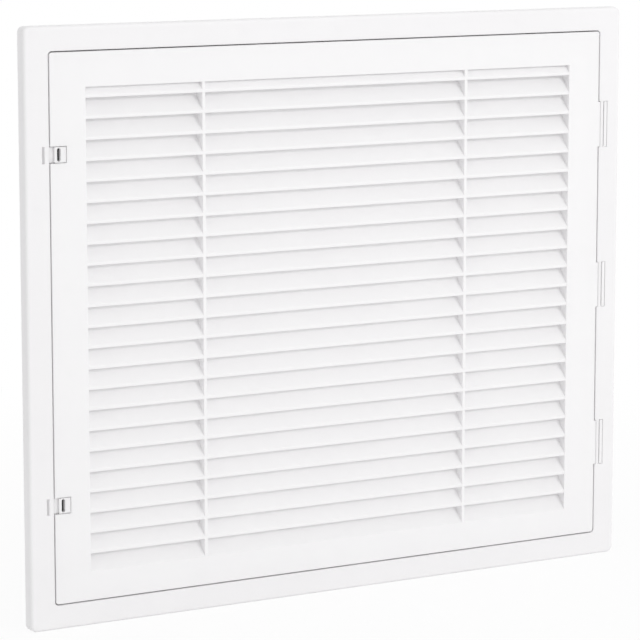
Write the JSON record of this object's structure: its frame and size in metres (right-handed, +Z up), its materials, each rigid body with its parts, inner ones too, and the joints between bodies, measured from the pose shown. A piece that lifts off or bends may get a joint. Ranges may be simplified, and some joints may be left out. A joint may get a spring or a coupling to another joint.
{
  "type": "return air filter grille",
  "caption": "Moulded wall grille for return air: a flanged frame, a hinged louvred door held by slide latches, and a bay for a flat filter behind it.",
  "frame": {"origin": "centre of the flange's back plane, where it meets the wall, midway between the four screw holes", "axes": "+Z up the wall, +Y into the wall and the duct, -Y towards the room, +X towards the hinges"},
  "size_m": [0.67, 0.045, 0.569],
  "materials": {
    "frame_plastic": "satin white moulded plastic",
    "door_plastic": "satin white moulded plastic",
    "latch_plastic": "satin white moulded plastic"
  },
  "bodies": {
    "frame": {"frame": "frame_plastic"},
    "door": {"door": "door_plastic"},
    "latch_upper": {"latch_upper": "latch_plastic"},
    "latch_lower": {"latch_lower": "latch_plastic"}
  },
  "joints": [
    {"name": "door_hinge", "type": "hinge", "parent": "frame", "child": "door", "pos_m": [0.3138, -0.011, 0], "axis": [0, 0, 1], "range_deg": [0, 110]},
    {"name": "latch_upper_slide", "type": "slide", "parent": "door", "child": "latch_upper", "axis": [1, 0, 0], "range_m": [-0.0042, 0]},
    {"name": "latch_lower_slide", "type": "slide", "parent": "door", "child": "latch_lower", "axis": [1, 0, 0], "range_m": [-0.0042, 0]}
  ]
}
